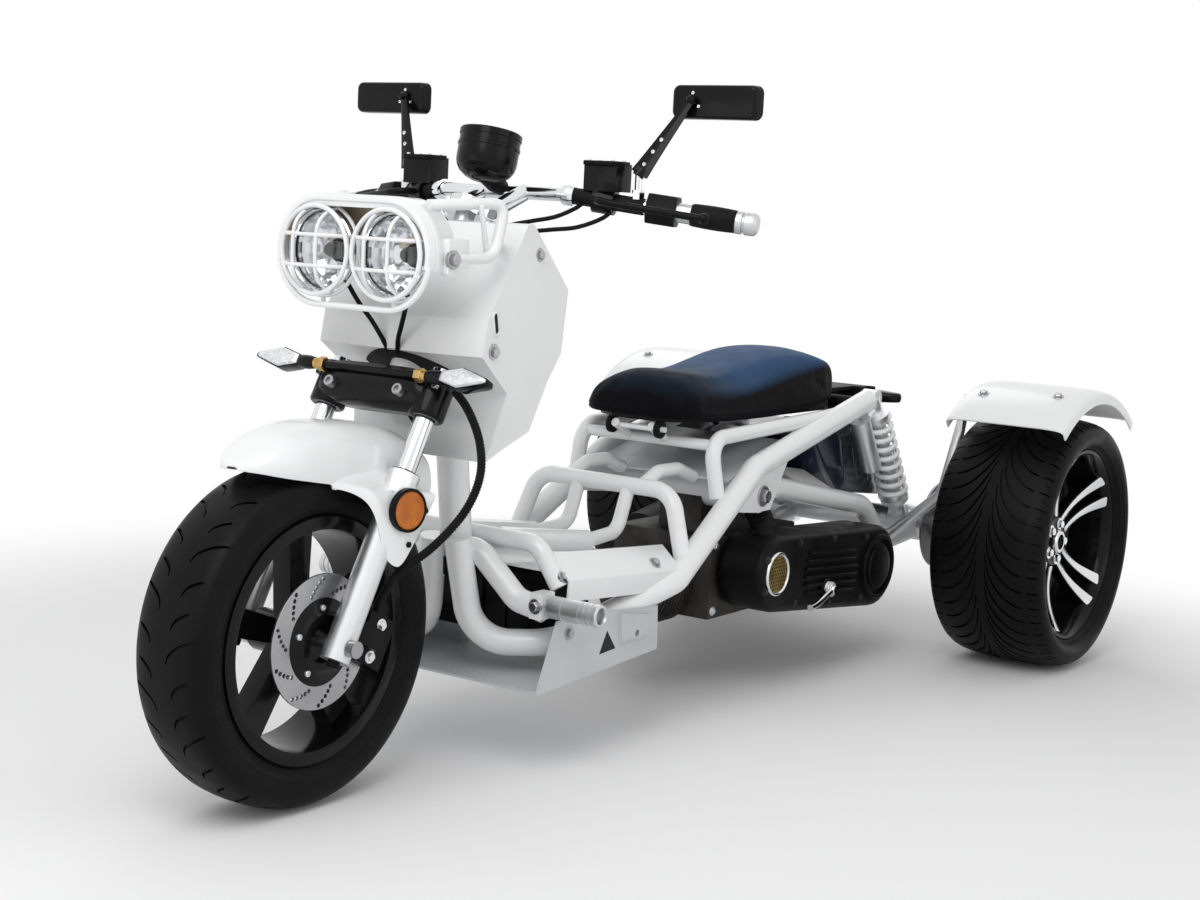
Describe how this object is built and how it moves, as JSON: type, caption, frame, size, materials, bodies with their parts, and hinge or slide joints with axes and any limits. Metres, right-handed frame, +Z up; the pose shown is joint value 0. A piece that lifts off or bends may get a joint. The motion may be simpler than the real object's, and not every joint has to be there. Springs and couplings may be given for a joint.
{
  "type": "scooter trike",
  "caption": "Three-wheeled scooter with an open white tube frame, caged twin headlights, steered front wheel, wide rear wheels, low step-through floor and hinged seat",
  "frame": {"origin": "on the floor, at the middle of the bounding box, in the machine's middle plane", "axes": "+X points forward along the travel direction, +Y to the rider's left, +Z up"},
  "size_m": [2.1769, 1.064, 1.054],
  "materials": {
    "white_paint": "gloss white enamel",
    "black_gloss_paint": "gloss black enamel",
    "black_plastic": "moulded, slightly grained",
    "black_rubber": "soft matt rubber",
    "tyre_rubber": "new tyre, matt",
    "polished_chrome": "bright chrome",
    "satin_aluminium": "satin, lightly brushed",
    "bare_steel": "turned and ground",
    "cast_metal": "dark cast, rough",
    "seat_vinyl": "dark navy vinyl, soft sheen",
    "tank_navy": "glossy dark navy",
    "lamp_glass": "clear lens",
    "grey_panel": "light grey paint"
  },
  "bodies": {
    "steering": {"steering_stem": "bare_steel", "fork_bridge": "black_gloss_paint", "fork_tubes": "polished_chrome", "fork_sliders": "satin_aluminium", "front_axle": "bare_steel", "front_fender": "white_paint", "handlebar": "polished_chrome", "hand_grips": "black_rubber", "brake_levers": "black_plastic", "master_cylinders": "black_plastic", "switch_pods": "black_plastic", "mirrors": "black_plastic", "gauge": "black_plastic", "front_signals": "black_plastic", "brake_caliper": "cast_metal", "brake_hose": "black_rubber"},
    "front_wheel": {"front_tyre": "tyre_rubber", "front_rim": "black_gloss_paint", "front_brake_disc": "bare_steel"},
    "rear_wheel_left": {"rear_tyre_left": "tyre_rubber", "rear_rim_left": "black_gloss_paint", "rear_shaft_left": "bare_steel", "rear_brake_disc": "bare_steel"},
    "rear_wheel_right": {"rear_tyre_right": "tyre_rubber", "rear_rim_right": "black_gloss_paint", "rear_shaft_right": "bare_steel"},
    "seat": {"seat_cushion": "seat_vinyl", "seat_base": "black_plastic"},
    "chassis": {"frame_spine": "white_paint", "main_rail_left": "white_paint", "main_rail_right": "white_paint", "floor_hoop": "white_paint", "step_bars": "white_paint", "seat_frame": "white_paint", "floor_panel": "white_paint", "skid_plate": "grey_panel", "foot_pegs": "satin_aluminium", "front_fairing": "white_paint", "headlight_hood": "white_paint", "headlights": "lamp_glass", "headlight_guard": "white_paint", "under_seat_panel": "grey_panel", "swingarm": "white_paint", "engine_block": "cast_metal", "drive_cover": "black_plastic", "intake_duct": "black_rubber", "muffler": "bare_steel", "fuel_tank": "tank_navy", "axle_housing": "satin_aluminium", "shock_absorbers": "satin_aluminium", "shock_springs": "white_paint", "rear_fenders": "white_paint", "fender_stays": "satin_aluminium", "tail_bracket": "black_plastic"}
  },
  "joints": [
    {"name": "steering", "type": "hinge", "parent": "chassis", "child": "steering", "pos_m": [0.58251, 0, 0.66945], "axis": [-0.4695, 0, 0.8829], "range_deg": [-30, 30]},
    {"name": "front_wheel_spin", "type": "hinge", "parent": "steering", "child": "front_wheel", "pos_m": [0.8455, 0, 0.243], "axis": [0, 1, 0], "continuous": true},
    {"name": "rear_wheel_left_spin", "type": "hinge", "parent": "chassis", "child": "rear_wheel_left", "pos_m": [-0.8405, 0.41, 0.248], "axis": [0, 1, 0], "continuous": true},
    {"name": "rear_wheel_right_spin", "type": "hinge", "parent": "chassis", "child": "rear_wheel_right", "pos_m": [-0.8405, -0.41, 0.248], "axis": [0, 1, 0], "continuous": true},
    {"name": "seat_hinge", "type": "hinge", "parent": "chassis", "child": "seat", "pos_m": [-0.0065, 0, 0.484], "axis": [0, 1, 0], "range_deg": [0, 60]}
  ]
}
